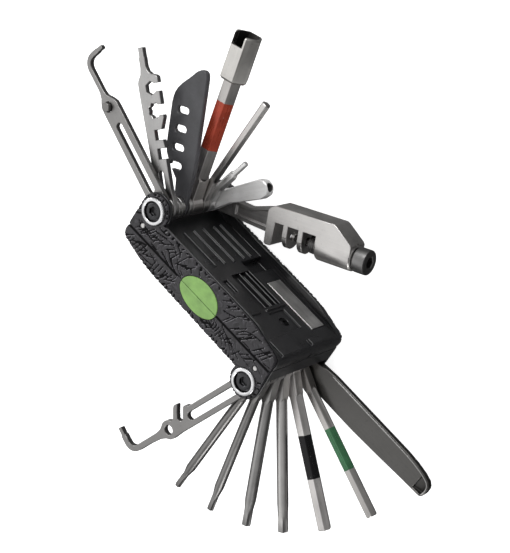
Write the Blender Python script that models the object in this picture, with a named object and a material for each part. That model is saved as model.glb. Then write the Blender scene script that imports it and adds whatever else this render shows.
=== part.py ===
"""Folding bicycle multi-tool with a chain tool.

Two moulded halves lie side by side along X and meet on the plane Y = 0. Each half is a black channel
frame with a front and a rear cover, and carries eight fold-out tools on one long pivot. Half B is half A
turned 180 degrees about Z. The object lies on its rear covers, so Z = 0 is the plane it rests on and the
pivots stand upright.

Lengths are millimetres until a mesh is written. A depth is measured backwards from the plane of the front
cover's outer edge. A tool is drawn in its own frame: pivot at the origin, tool along +X.
"""

import math

import bmesh
import bpy

MM = 0.001
GAP = 0.3  # clearance between touching pieces

# Body
BODY_DEPTH = 54.0  # between the outer edge planes of the front and rear covers
CROWN = 1.5  # how far the covers' middle band stands above their edges
CROWN_BAND = 2.6  # half width of the flat band along the parting plane
PIVOT = (-42.0, 14.0)
LOBE_RADIUS = 8.75
END_X = 49.8
EDGE_Y = 11.6
PARTING_Y = 0.15
FLOOR_Y = 7.0
COVER_INSET = 0.6
COVER_SEAT = 1.3  # depth of the cover's inner face
FRAME_FRONT = COVER_SEAT + GAP
BAY_FRONT = 3.0
BAY_BACK = BODY_DEPTH - BAY_FRONT

# Pivot hardware
BORE_RADIUS = 3.3
SLEEVE_RADIUS = 3.0
SLEEVE_BORE = 2.4
SHAFT_RADIUS = 2.1
HEAD_RADIUS = 4.6
RING_INNER = 4.9
RING_OUTER = 6.6
HUB_RADIUS = 5.2
PIN_POINT = (-42.9, 4.4)
PIN_RADIUS = 1.2

# Emblem inlay, an oval shared by both halves
INLAY_CENTRE_X = 1.2
INLAY_HALF_LENGTH = 12.2
INLAY_HALF_WIDTH = 8.2
INLAY_FLOOR = 0.1
INLAY_PROUD = 0.2

# Bay floor. A pocket is (x0, x1, floor y, front, back), a rib (x0, x1, low y, top y, front, back).
POCKETS = (
    (-1.0, 21.2, 4.4, 20.5, 34.2),
    (-7.2, 1.2, 3.6, 35.0, BAY_BACK),
    (0.8, 8.4, 5.6, 11.8, 15.4),
    (25.0, 37.0, 6.2, 21.0, 33.0),
)
RIBS = (
    (-31.0, -8.2, 6.5, 7.9, 15.5, 16.4),
    (-31.0, -8.2, 6.5, 7.9, 23.0, 23.9),
    (-31.0, -8.2, 6.5, 7.9, 30.2, 31.1),
    (-31.0, -8.2, 6.5, 7.9, 38.3, 39.2),
    (-31.0, -8.2, 6.5, 7.9, 43.6, 44.5),
    (-1.5, 21.7, 4.0, 6.8, 26.6, 27.5),
    (-1.5, 21.7, 4.0, 6.8, 31.6, 32.5),
    (22.6, 23.6, 6.5, 7.9, 6.0, 16.0),
    (22.6, 23.6, 6.5, 7.9, 21.0, 36.0),
    (38.5, 48.6, 6.2, 8.0, 4.5, 19.0),
    (44.5, 48.2, 6.2, 8.2, 28.5, 37.0),
)
PLATE_SEAT = (8.4, 40.4, 38.0, 48.6)  # x0, x1, front, back
PLATE_LOW = 5.9
PLATE_TOP = 7.3
SCREW_POINT = (31.0, 27.0)  # x and depth of the bay screw

# Sliding dovetail between the halves
RAIL_START_X = -40.0
RAIL_DEPTH_Y = 2.7
RAIL_MIDDLE = 27.0
RAIL_MOUTH = 3.0
RAIL_ROOT = 4.6

# Depth layers of the tools on pivot A, front face and back face
PEG_HOOK = (5.4, 8.2)
SPOKE = (9.3, 12.1)
BLADE = (17.2, 20.1)
HEX_8 = (22.9, 30.9)
HEX_4 = (31.2, 35.2)
HEX_2_5 = (36.4, 40.4)
SOCKET_BAR = (40.7, 46.1)
CHAIN_ARM = (46.4, 50.7)
WASHERS_A = ((3.3, 5.1), (8.5, 9.0), (12.4, 14.5), (14.8, 16.9), (20.4, 22.6), (35.5, 36.1))

# Depth layers of the tools on pivot B
CHAIN_HOOK = (4.7, 7.7)
STAR_10 = (8.8, 13.4)
STAR_15 = (14.5, 19.1)
STAR_25 = (20.2, 25.6)
STAR_30 = (26.7, 32.1)
HEX_6 = (33.2, 39.2)
HEX_5 = (40.3, 45.3)
LEVER = (46.4, 50.7)
WASHERS_B = (
    (3.3, 4.4), (8.0, 8.5), (13.7, 14.2), (19.4, 19.9),
    (25.9, 26.4), (32.4, 32.9), (39.5, 40.0), (45.6, 46.1),
)

# Angle each tool is opened to, in degrees from its half's +X
OPEN = {
    "peg_hook_key": 160.3,
    "spoke_wrench": 136.5,
    "plastic_blade": 116.0,
    "hex_key_8": 103.3,
    "hex_key_4": 87.3,
    "hex_key_2_5": 75.6,
    "socket_bar": 51.0,
    "chain_tool": 26.0,
    "chain_hook_key": 70.0,
    "star_key_10": 89.0,
    "star_key_15": 102.4,
    "star_key_25": 115.3,
    "star_key_30": 127.5,
    "hex_key_6": 141.4,
    "hex_key_5": 158.5,
    "tyre_lever": 179.5,
}

# Chain tool head
CHAIN_ANGLE = OPEN["chain_tool"]
HEAD_FRONT = 38.3
BARREL_RADIUS = 6.4
BOSS_RADIUS = 5.9  # the round feet of the two posts
POSTS = ((46.1, 48.7), (54.6, 57.3))
POST_BACK = 41.3
SCREW_LINE_Y = -4.6  # the driver's axis, in the chain tool's frame
SCREW_DEPTH = 44.3
THREAD_RADIUS = 4.6
PUSH_PIN_RADIUS = 1.9

# Adapter on the 8 mm key
ADAPTER_START = 64.5
ADAPTER_END = 86.9
ADAPTER_FLATS = 12.4
ADAPTER_BORE_FLATS = 8.7
ADAPTER_NOTCH = 5.3  # how far the front wall stops short of the outer end

COLOURS = {
    "moulded_black": ((0.012, 0.012, 0.014), 0.45, 0.0),
    "textured_charcoal": ((0.035, 0.034, 0.038), 0.6, 0.0),
    "green": ((0.22, 0.46, 0.10), 0.45, 0.0),
    "bright_ring": ((0.80, 0.80, 0.81), 0.30, 1.0),
    "black_bolt": ((0.03, 0.03, 0.032), 0.32, 1.0),
    "steel": ((0.34, 0.33, 0.32), 0.38, 1.0),
    "light_steel": ((0.52, 0.50, 0.48), 0.42, 1.0),
    "dark_steel": ((0.16, 0.15, 0.15), 0.40, 1.0),
    "black_blade": ((0.035, 0.036, 0.040), 0.55, 0.0),
}


# ---------------------------------------------------------------- scene and materials

def clear_scene():
    for obj in list(bpy.data.objects):
        bpy.data.objects.remove(obj, do_unlink=True)


def material(name):
    found = bpy.data.materials.get(name)
    if found:
        return found
    colour, roughness, metallic = COLOURS[name]
    made = bpy.data.materials.new(name)
    made.use_nodes = True
    shader = made.node_tree.nodes["Principled BSDF"]
    shader.inputs["Base Color"].default_value = (*colour, 1.0)
    shader.inputs["Roughness"].default_value = roughness
    shader.inputs["Metallic"].default_value = metallic
    return made


def empty(name, x=0.0, y=0.0, turn=0.0, parent=None):
    made = bpy.data.objects.new(name, None)
    made.location = (x * MM, y * MM, 0.0)
    made.rotation_euler.z = math.radians(turn)
    made.parent = parent
    bpy.context.collection.objects.link(made)
    return made


# ---------------------------------------------------------------- mesh building

def height(depth):
    """Height above the rest plane of a depth behind the front edge plane."""
    return BODY_DEPTH + CROWN - depth


def arc(x, y, radius, start, end, steps):
    """Points on an arc, with both ends, angles in degrees."""
    angles = [math.radians(start + (end - start) * i / steps) for i in range(steps + 1)]
    return [(x + radius * math.cos(a), y + radius * math.sin(a)) for a in angles]


def circle(x, y, radius, sides=24):
    return arc(x, y, radius, 0, 360, sides)[:-1]


def oval(x, y, half_length, half_width, sides=40):
    return [(x + half_length * px, y + half_width * py) for px, py in circle(0, 0, 1, sides)]


def rectangle(x0, x1, y0, y1):
    return [(x0, y0), (x1, y0), (x1, y1), (x0, y1)]


def slot(x0, x1, y, half_width, steps=6):
    """A rounded slot along X from end to end."""
    return (
        arc(x1 - half_width, y, half_width, -90, 90, steps)
        + arc(x0 + half_width, y, half_width, 90, 270, steps)
    )


def loft(bm, rings):
    """Skins rings of equal length and closes both ends. add() turns the faces outwards."""
    layers = [[bm.verts.new(point) for point in ring] for ring in rings]
    count = len(layers[0])
    for lower, upper in zip(layers, layers[1:]):
        for i in range(count):
            j = (i + 1) % count
            bm.faces.new((lower[i], lower[j], upper[j], upper[i]))
    bm.faces.new(reversed(layers[0]))
    bm.faces.new(layers[-1])


def prism(bm, outline, front, back):
    """Extrudes an anticlockwise outline between two depths."""
    low, high = height(back), height(front)
    loft(bm, [[(x, y, low) for x, y in outline], [(x, y, high) for x, y in outline]])


def block(bm, x0, x1, y0, y1, front, back):
    prism(bm, rectangle(x0, x1, y0, y1), front, back)


def disc(bm, x, y, radius, front, back, sides=24):
    prism(bm, circle(x, y, radius, sides), front, back)


def turned(bm, x, y, profile, sides=24):
    """A solid turned about an upright axis, from (radius, depth) points listed from back to front."""
    loft(bm, [[(px, py, height(depth)) for px, py in circle(x, y, radius, sides)]
              for radius, depth in profile])


def bar(bm, stations, y=0.0, depth=0.0, sides=24, lobes=0.0):
    """A solid along X from (x, radius, lobe share) stations. Six sides put flats to the front and back."""
    rings = []
    for x, radius, share in stations:
        ring = []
        for i in range(sides):
            a = 2 * math.pi * i / sides
            r = radius * (1 + share * lobes * math.cos(6 * a))
            ring.append((x, y + r * math.cos(a), height(depth) + r * math.sin(a)))
        rings.append(ring)
    loft(bm, rings)


def hex_radius(flats):
    return flats / 2 / math.cos(math.radians(30))


def add(name, bm, finish, parent, turn=0.0):
    """Makes an object from a mesh in millimetres."""
    bmesh.ops.recalc_face_normals(bm, faces=bm.faces)
    bmesh.ops.scale(bm, vec=(MM, MM, MM), verts=bm.verts)
    mesh = bpy.data.meshes.new(name)
    bm.to_mesh(mesh)
    bm.free()
    made = bpy.data.objects.new(name, mesh)
    made.parent = parent
    made.rotation_euler.z = math.radians(turn)
    bpy.context.collection.objects.link(made)
    if finish:
        mesh.materials.append(material(finish))
        mesh.shade_smooth()
        mesh.set_sharp_from_angle(angle=math.radians(30))
    return made


def combine(target, name, bm, operation):
    """Joins a hidden shape to an object, or cuts it away."""
    helper = add(name, bm, None, target.parent, math.degrees(target.rotation_euler.z))
    helper.hide_render = True
    helper.display_type = "WIRE"
    modifier = target.modifiers.new(name, "BOOLEAN")
    modifier.object = helper
    modifier.operation = operation
    modifier.solver = "EXACT"


def cut(target, name, draw):
    bm = bmesh.new()
    draw(bm)
    combine(target, name, bm, "DIFFERENCE")


def join(target, name, draw):
    bm = bmesh.new()
    draw(bm)
    combine(target, name, bm, "UNION")


def plate(name, outline, layer, finish, parent, turn):
    bm = bmesh.new()
    prism(bm, outline, *layer)
    return add(name, bm, finish, parent, turn)


def cut_outline(target, name, outline, layer):
    """Cuts an outline right through a layer."""
    cut(target, name, lambda bm: prism(bm, outline, layer[0] - 1, layer[1] + 1))


def cut_bore(target, layer):
    cut_outline(target, target.name + "_bore", circle(0, 0, BORE_RADIUS), layer)


# ---------------------------------------------------------------- body halves

def half_outline(inset=0.0):
    """Side outline of half A, anticlockwise, with the lobe round its pivot."""
    x, y = PIVOT
    right = END_X - inset
    edge = EDGE_Y - inset
    return (
        [(-END_X + inset, PARTING_Y), (right, PARTING_Y), (right + 0.2, 3.0), (right - 0.5, 5.8)]
        + [(right - 2.2, 7.2 - inset * 0.4), (32.0, edge - 0.5), (26.0, edge)]
        + arc(x, y, LOBE_RADIUS - inset, -16, 188, 16)
    )


def crown(y):
    """How far a cover stands above its edge plane at a distance from the parting plane."""
    share = (EDGE_Y - y) / (EDGE_Y - CROWN_BAND)
    return CROWN * min(1.0, max(0.0, share))


def crowned_mesh(outline, seat, proud, face_depth):
    """A plate whose outer face follows the crown. face_depth turns a crown height into a depth."""
    bm = bmesh.new()
    prism(bm, outline, seat - 1, seat)
    for y in (CROWN_BAND, EDGE_Y):
        everything = bm.verts[:] + bm.edges[:] + bm.faces[:]
        bmesh.ops.bisect_plane(bm, geom=everything, plane_co=(0, y, 0), plane_no=(0, 1, 0), dist=1e-5)
    outer = height(seat - 1) - 1e-4
    for vert in bm.verts:
        if vert.co.z >= outer:
            vert.co.z = height(face_depth(crown(vert.co.y) + proud))
        else:
            vert.co.z = height(face_depth(-seat))
    return bm


def front_depth(proud):
    return -proud


def rear_depth(proud):
    return BODY_DEPTH + proud


def make_cover(name, face_depth, parent):
    bm = crowned_mesh(half_outline(COVER_INSET), COVER_SEAT, 0.0, face_depth)
    cover = add(name, bm, "textured_charcoal", parent)
    seat, top = sorted((face_depth(-COVER_SEAT - 1), face_depth(CROWN + 1)))

    def holes(bm):
        disc(bm, *PIVOT, RING_OUTER + GAP, seat, top, 32)
        disc(bm, *PIN_POINT, PIN_RADIUS + GAP, seat, top, 12)

    cut(cover, name + "_holes", holes)
    return cover


def make_inlay(side, cover, parent):
    """Half of the oval and its recess. Its outer face follows the cover's crown."""
    centre = INLAY_CENTRE_X if side == "a" else -INLAY_CENTRE_X
    recess = oval(centre, 0, INLAY_HALF_LENGTH, INLAY_HALF_WIDTH)
    cut(cover, "inlay_recess_" + side, lambda bm: prism(bm, recess, -CROWN - 1, INLAY_FLOOR))
    whole = oval(centre, 0, INLAY_HALF_LENGTH - GAP, INLAY_HALF_WIDTH - GAP)
    outline = [point for point in whole if point[1] > PARTING_Y]
    first, last = outline[0], outline[-1]
    outline = [(first[0] + 0.1, PARTING_Y)] + outline + [(last[0] - 0.1, PARTING_Y)]
    bm = crowned_mesh(outline, INLAY_FLOOR - GAP, INLAY_PROUD, front_depth)
    add("emblem_inlay_" + side, bm, "green", parent)


def rail(bm, start, end, side, slack):
    """The dovetail's section in Y and depth, run along X. It widens towards side * RAIL_DEPTH_Y."""
    mouth, root = RAIL_MOUTH - slack, RAIL_ROOT - slack
    section = [(-side, mouth - 0.6), (-side, 0.6 - mouth)]
    section += [(side * (RAIL_DEPTH_Y - slack), -root), (side * (RAIL_DEPTH_Y - slack), root)]
    loft(bm, [[(x, y, height(RAIL_MIDDLE) + z) for y, z in section] for x in (start, end)])


def make_frame(name, parent, has_groove, has_plate):
    """The channel that holds the pivot: two side plates and a web along the parting plane."""
    frame = plate(name, half_outline(), (FRAME_FRONT, BODY_DEPTH - FRAME_FRONT), "moulded_black", parent, 0)
    x, y = PIVOT

    def bay(bm):
        block(bm, x - 12, END_X + 3, FLOOR_Y, y + 14, BAY_FRONT, BAY_BACK)

    def bores(bm):
        disc(bm, x, y, BORE_RADIUS, -3, BODY_DEPTH + 3)
        disc(bm, *PIN_POINT, PIN_RADIUS + GAP, -3, BODY_DEPTH + 3, 12)

    def pockets(bm):
        for x0, x1, floor, front, back in POCKETS:
            block(bm, x0, x1, floor, FLOOR_Y + 2, front, back)

    def ribs(bm):
        for rib in RIBS:
            block(bm, *rib)

    def plate_seat(bm):
        x0, x1, front, back = PLATE_SEAT
        block(bm, x0, x1, PLATE_LOW, FLOOR_Y + 2, front, back)

    cut(frame, name + "_bay", bay)
    cut(frame, name + "_bores", bores)
    cut(frame, name + "_pockets", pockets)
    join(frame, name + "_ribs", ribs)
    cut(frame, name + "_screw_seat", draw_screw_seat)
    if has_plate:
        cut(frame, name + "_plate_seat", plate_seat)
    if has_groove:
        cut(frame, name + "_groove", lambda bm: rail(bm, RAIL_START_X, END_X + 2, 1, 0.0))
    else:
        join(frame, name + "_tongue", lambda bm: rail(bm, 0.4 - END_X, -RAIL_START_X - GAP, -1, GAP))


def along_y(bm, x, depth, profile, sides=16):
    """A solid turned about an axis along Y, from (radius, y) points with Y falling."""
    rings = []
    for radius, y in profile:
        ring = circle(0, 0, radius, sides)
        rings.append([(x + a, y, height(depth) + b) for a, b in ring])
    loft(bm, rings)


def draw_screw_seat(bm):
    x, depth = SCREW_POINT
    along_y(bm, x, depth, [(2.6, 12.0), (2.6, 4.6), (1.4, 4.6), (1.4, 3.4)])


def make_bay_screw(name, parent):
    """A small cross-head screw that holds the frame's insert."""
    x, depth = SCREW_POINT
    bm = bmesh.new()
    along_y(bm, x, depth, [(1.7, 6.3), (2.2, 5.9), (2.2, 4.9), (1.1, 4.9), (1.1, 3.7)])
    screw = add(name, bm, "steel", parent)

    def recess(bm):
        block(bm, x - 1.3, x + 1.3, 5.6, 7.0, depth - 0.3, depth + 0.3)

    def recess_across(bm):
        block(bm, x - 0.3, x + 0.3, 5.6, 7.0, depth - 1.3, depth + 1.3)

    cut(screw, name + "_recess", recess)
    cut(screw, name + "_recess_across", recess_across)


def make_pivot_set(side, parent):
    """The long bolt, its sleeve nut, a ring at each end and the locating pin."""
    x, y = PIVOT
    rear = BODY_DEPTH

    ring_front = bmesh.new()
    turned(ring_front, x, y, [(RING_OUTER, COVER_SEAT), (RING_OUTER, -CROWN + 0.4),
                              (RING_OUTER - 0.4, -CROWN)], 32)
    ring = add("front_ring_" + side, ring_front, "bright_ring", parent)
    cut(ring, "front_ring_eye_" + side, lambda bm: disc(bm, x, y, RING_INNER, -4, 4, 32))

    ring_rear = bmesh.new()
    turned(ring_rear, x, y, [(RING_OUTER - 0.4, rear + CROWN), (RING_OUTER, rear + CROWN - 0.4),
                             (RING_OUTER, rear - COVER_SEAT)], 32)
    ring = add("rear_ring_" + side, ring_rear, "bright_ring", parent)
    cut(ring, "rear_ring_eye_" + side, lambda bm: disc(bm, x, y, RING_INNER, rear - 4, rear + 4, 32))

    bolt_bm = bmesh.new()
    turned(bolt_bm, x, y, [(SHAFT_RADIUS, 16.0), (SHAFT_RADIUS, COVER_SEAT), (HEAD_RADIUS, COVER_SEAT),
                           (HEAD_RADIUS, -0.3), (HEAD_RADIUS - 0.9, -0.95)])
    bolt = add("pivot_bolt_" + side, bolt_bm, "black_bolt", parent)
    cut(bolt, "pivot_bolt_socket_" + side, lambda bm: disc(bm, x, y, hex_radius(4.0), -3, 0.9, 6))

    nut_bm = bmesh.new()
    turned(nut_bm, x, y, [(HEAD_RADIUS - 0.9, rear + 0.95), (HEAD_RADIUS, rear + 0.3),
                          (HEAD_RADIUS, rear - COVER_SEAT), (SLEEVE_RADIUS, rear - COVER_SEAT),
                          (SLEEVE_RADIUS, COVER_SEAT + GAP)])
    nut = add("pivot_nut_" + side, nut_bm, "black_bolt", parent)
    cut(nut, "pivot_nut_bore_" + side, lambda bm: disc(bm, x, y, SLEEVE_BORE, 0, 17.0))
    cut(nut, "pivot_nut_socket_" + side, lambda bm: disc(bm, x, y, hex_radius(4.0), rear - 0.9, rear + 3, 6))

    pin_bm = bmesh.new()
    disc(pin_bm, *PIN_POINT, PIN_RADIUS, -0.7, rear + 0.7, 12)
    add("frame_pin_" + side, pin_bm, "bright_ring", parent)


def make_washers(side, layers, pivot):
    for number, layer in enumerate(layers, start=1):
        washer = plate(f"washer_{side}{number}", circle(0, 0, HUB_RADIUS), layer, "light_steel", pivot, 0)
        cut_bore(washer, layer)


def make_bay_plate(side, parent):
    x0, x1, front, back = PLATE_SEAT
    bm = bmesh.new()
    block(bm, x0 + GAP, x1 - GAP, PLATE_LOW + GAP, PLATE_TOP, front + GAP, back - GAP)
    add("bay_plate_" + side, bm, "light_steel", parent)


def make_half(side, root, has_groove, has_plate, washers):
    half = empty("half_" + side, turn=0 if side == "a" else 180, parent=root)
    pivot = empty("pivot_" + side, *PIVOT, parent=half)
    make_frame("frame_" + side, half, has_groove, has_plate)
    front_cover = make_cover("front_cover_" + side, front_depth, half)
    make_cover("rear_cover_" + side, rear_depth, half)
    make_inlay(side, front_cover, half)
    make_pivot_set(side, half)
    make_bay_screw("bay_screw_" + side, half)
    make_washers(side, washers, pivot)
    if has_plate:
        make_bay_plate(side, half)
    return pivot


# ---------------------------------------------------------------- plate tools

def hub_back(radius=HUB_RADIUS):
    """The half circle behind a pivot, from the top round to the bottom."""
    return arc(0, 0, radius, 90, 270, 10)


def bent_tip(x, y, half_width, length, tip_half_width):
    """A rod's right-angle bend toward -Y with a stepped tip. It starts on the rod's lower edge."""
    turn = 5.0
    centre = (x, y - turn)
    inner, outer = turn - half_width, turn + half_width
    step = y - turn - 3.6
    end = y - length
    middle = x + turn
    return (
        arc(*centre, inner, 90, 0, 4)
        + [(middle - half_width, step), (middle - tip_half_width, step - 0.5)]
        + [(middle - tip_half_width, end), (middle + tip_half_width, end)]
        + [(middle + tip_half_width, step - 0.5), (middle + half_width, step)]
        + arc(*centre, outer, 0, 90, 6)
    )


def make_peg_hook(pivot):
    """Slotted plate that ends in a bent hex tip, with a round peg near its head."""
    outline = (
        hub_back(5.15)
        + [(6.0, -5.2), (53.0, -5.1), (55.6, -4.9), (58.0, -3.6), (60.8, -1.5), (63.4, -1.05)]
        + bent_tip(75.5, 0.1, 1.15, 12.1, 0.9)
        + [(63.7, 1.25), (60.8, 2.2), (58.9, 3.5), (57.0, 4.4), (54.0, 4.7), (6.0, 4.9)]
    )
    turn = OPEN["peg_hook_key"]
    tool = plate("peg_hook_key", outline, PEG_HOOK, "steel", pivot, turn)
    cut_bore(tool, PEG_HOOK)
    cut_outline(tool, "peg_hook_slot", slot(9.0, 46.2, 0, 1.85), PEG_HOOK)
    cut_outline(tool, "peg_hook_eye", circle(55.4, 0.6, 2.5, 20), PEG_HOOK)
    bm = bmesh.new()
    disc(bm, 55.4, 0.6, 2.2, PEG_HOOK[0] - 2.2, PEG_HOOK[1], 20)
    add("hook_peg", bm, "light_steel", pivot, turn)


def make_spoke_wrench(pivot):
    """Notched plate for spoke nipples, with a thin key tip."""
    outline = (
        hub_back()
        + [(9.0, -4.0), (22.8, -3.9), (28.1, -4.3), (31.7, -3.8), (36.6, -3.7), (41.9, -6.1)]
        + [(49.4, -5.75), (58.6, -5.75), (60.6, -5.7), (61.6, -4.7), (62.3, -2.2), (63.9, -0.5)]
        + [(66.3, 0.2), (70.2, 0.2), (70.6, 0.4), (75.0, 0.4), (75.0, 3.2), (70.6, 3.2)]
        + [(70.2, 3.6), (65.8, 3.5), (62.6, 4.1), (60.1, 5.8), (58.8, 6.3), (51.8, 6.2), (28.0, 5.4)]
    )
    tool = plate("spoke_wrench", outline, SPOKE, "steel", pivot, OPEN["spoke_wrench"])
    cut_bore(tool, SPOKE)
    cut_outline(tool, "spoke_eye", slot(8.6, 17.8, 0.4, 1.4), SPOKE)
    hexagon = circle(55.9, -1.0, 3.3, 6)
    cut_outline(tool, "spoke_hex_notch", hexagon, SPOKE)
    cut_outline(tool, "spoke_hex_mouth", rectangle(54.2, 58.0, -9.0, -2.0), SPOKE)
    star = [
        (45.5 + r * math.cos(math.radians(a)), -1.4 + r * math.sin(math.radians(a)))
        for a, r in ((i * 22.5, 3.9 if i % 2 else 3.1) for i in range(16))
    ]
    cut_outline(tool, "spoke_star_notch", star, SPOKE)
    cut_outline(tool, "spoke_star_mouth", rectangle(43.2, 48.0, -9.0, -3.0), SPOKE)
    cut_outline(tool, "spoke_wide_notch", rectangle(31.9, 36.6, -9.0, 0.6), SPOKE)
    cut_outline(tool, "spoke_narrow_notch", rectangle(23.0, 27.9, -9.0, 0.45), SPOKE)


def make_blade(pivot):
    """Black plastic blade with a thinned back and four rounded windows."""
    outline = (
        [(0.0, 4.4)] + arc(0, 0, 4.4, 110, 250, 8) + [(0.0, -4.4), (10.0, -5.2), (14.0, -6.1), (20.0, -6.65)]
        + [(61.5, -6.7), (63.4, -6.5), (64.9, -5.8), (65.6, -4.6), (65.5, -2.6), (64.4, -0.5)]
        + [(60.8, 3.2), (57.0, 7.6), (54.9, 9.6), (52.6, 11.0), (50.2, 11.8), (47.4, 12.2), (27.0, 12.2)]
        + [(23.6, 11.4), (20.6, 9.6), (12.6, 3.4), (6.0, 3.0)]
    )
    tool = plate("plastic_blade", outline, BLADE, "black_blade", pivot, OPEN["plastic_blade"])
    cut_outline(tool, "plastic_blade_bore", circle(0, 0, BORE_RADIUS), BLADE)

    def windows(bm):
        for x in (18.7, 27.3, 36.2, 45.0):
            outline = [(py + x, px) for px, py in slot(1.1, 8.1, 0, 1.85)]
            prism(bm, list(reversed(outline)), BLADE[0] - 1, BLADE[1] + 1)

    def thinned_back(bm):
        front = BLADE[0]
        section = [(5.6, front - 0.02), (14.0, front + 1.0), (14.0, front - 2.0), (5.6, front - 2.0)]
        starts = (12.4, 72.0)
        loft(bm, [[(x, y, height(depth)) for y, depth in section] for x in starts])

    cut(tool, "plastic_blade_back", thinned_back)
    cut(tool, "plastic_blade_windows", windows)


def make_socket_bar(pivot):
    """Short flat bar with a round socket in its end."""
    middle = (SOCKET_BAR[0] + SOCKET_BAR[1]) / 2
    outline = (
        hub_back()
        + [(12.0, -3.5), (22.0, -4.2), (31.0, -4.7)]
        + arc(31.2, 0, 4.7, -50, 50, 6)
        + [(31.0, 4.7), (22.0, 4.2), (12.0, 3.5)]
    )
    tool = plate("socket_bar", outline, SOCKET_BAR, "light_steel", pivot, OPEN["socket_bar"])
    cut_bore(tool, SOCKET_BAR)
    cut(tool, "socket_bar_hole", lambda bm: bar(bm, [(26.0, 2.0, 0), (38.0, 2.0, 0)], 0, middle, 12))


def make_chain_hook(pivot):
    """Slotted plate with a hook that holds a chain, and a bent tip."""
    outline = (
        hub_back(5.15)
        + [(6.0, -4.2), (40.3, -4.1), (41.0, -4.9), (42.4, -5.3), (43.6, -5.0), (47.2, 0.2), (48.8, 0.2)]
        + [(50.0, -1.5), (48.2, -4.4), (46.0, -7.4), (46.4, -7.9), (48.3, -7.9), (49.4, -7.0), (52.4, -2.7)]
        + arc(57.8, 0.9, 4.75, 222, 315, 6)
        + [(62.5, -1.6), (65.9, -0.9)]
        + bent_tip(80.9, 0.7, 1.5, 13.0, 1.0)
        + [(72.5, 2.2), (65.4, 2.7), (62.6, 3.5)]
        + arc(57.8, 0.9, 4.75, 42, 88, 4)
        + [(52.0, 5.2), (6.0, 5.1)]
    )
    tool = plate("chain_hook_key", outline, CHAIN_HOOK, "steel", pivot, OPEN["chain_hook_key"])
    cut_bore(tool, CHAIN_HOOK)
    cut_outline(tool, "chain_hook_slot", slot(9.0, 43.5, 0.55, 2.05), CHAIN_HOOK)
    cut_outline(tool, "chain_hook_eye", circle(58.0, 0.9, 2.4, 20), CHAIN_HOOK)


def make_lever(pivot):
    """Steel tyre lever: a blade whose face slopes from one edge to the other, with a scooped tip."""
    outline = (
        hub_back()
        + [(8.0, -5.6), (18.0, -6.7), (40.0, -6.7), (59.0, -5.9), (72.0, -5.2), (84.0, -4.7)]
        + [(85.2, -3.9), (85.6, -2.0), (85.5, 0.4), (84.9, 2.0), (83.2, 3.6), (79.5, 4.8)]
        + [(74.0, 5.7), (66.8, 6.2), (18.0, 6.2), (8.0, 5.4)]
    )
    front = LEVER[0]
    tool = plate("tyre_lever", outline, LEVER, "dark_steel", pivot, OPEN["tyre_lever"])
    cut_bore(tool, LEVER)

    def sloped_face(bm):
        rings = []
        for x, low, high in ((8.5, -1.4, -0.4), (13.0, -0.2, 1.7), (92.0, -0.2, 1.7)):
            section = [(-8.0, front + low), (8.0, front + high), (8.0, front - 3), (-8.0, front - 3)]
            rings.append([(x, y, height(depth)) for y, depth in section])
        loft(bm, rings)

    def scoop(bm):
        floor = [(79.2, -3.9), (83.8, -3.8), (84.6, -2.0), (84.5, 0.2), (84.0, 1.5), (82.6, 2.8), (79.2, 3.9)]
        low = [(x, y, height(front + 1.7 + (x - 79.2) * 0.33)) for x, y in floor]
        high = [(x, y, height(front - 2.0)) for x, y in floor]
        loft(bm, [low, high])

    cut(tool, "tyre_lever_face", sloped_face)
    cut(tool, "tyre_lever_scoop", scoop)


# ---------------------------------------------------------------- shank tools

def make_shank_tool(name, layer, half_neck, neck_end, draw_shank, pivot):
    """A flattened eye and neck joined to a shank."""
    eye = (layer[0] + 0.2, layer[1] - 0.2)
    outline = (
        arc(0, 0, HUB_RADIUS, 40, 320, 18)
        + [(neck_end - 2.0, -half_neck), (neck_end, -half_neck * 0.7)]
        + [(neck_end, half_neck * 0.7), (neck_end - 2.0, half_neck)]
    )
    tool = plate(name, outline, eye, "steel", pivot, OPEN[name])
    join(tool, name + "_shank", draw_shank)
    cut_bore(tool, layer)
    return tool


def make_hex_key(name, layer, length, pivot, tip=None):
    """A hexagonal key. A tip of (length, flats) makes its end thinner."""
    flats = layer[1] - layer[0]
    middle = (layer[0] + layer[1]) / 2
    r = hex_radius(flats)
    start = 10.5 if tip else 14.0
    stations = [(start, r * 0.8, 0), (start + 1.2, r, 0)]
    if tip:
        tip_r = hex_radius(tip[1])
        stations += [(length - tip[0] - 1.0, r, 0), (length - tip[0], tip_r, 0)]
        r = tip_r
    stations += [(length - 0.5, r, 0), (length, r * 0.86, 0)]

    def shank(bm):
        bar(bm, stations, 0, middle, 6)

    make_shank_tool(name, layer, flats * 0.42, start + 2.0, shank, pivot)


def make_star_key(name, layer, length, tip_radius, pivot):
    """A round shank that tapers to a six-lobed driver tip."""
    thickness = layer[1] - layer[0]
    middle = (layer[0] + layer[1]) / 2
    r = thickness / 2
    tip = length - 8.5
    stations = [
        (14.0, r * 0.8, 0), (15.4, r, 0), (tip - 5.0, r, 0), (tip, tip_radius, 0.35),
        (tip + 3.0, tip_radius, 1), (length - 0.4, tip_radius, 1), (length, tip_radius * 0.88, 1),
    ]

    def shank(bm):
        bar(bm, stations, 0, middle, 24, 0.11)

    make_shank_tool(name, layer, thickness * 0.42, 16.0, shank, pivot)


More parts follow.
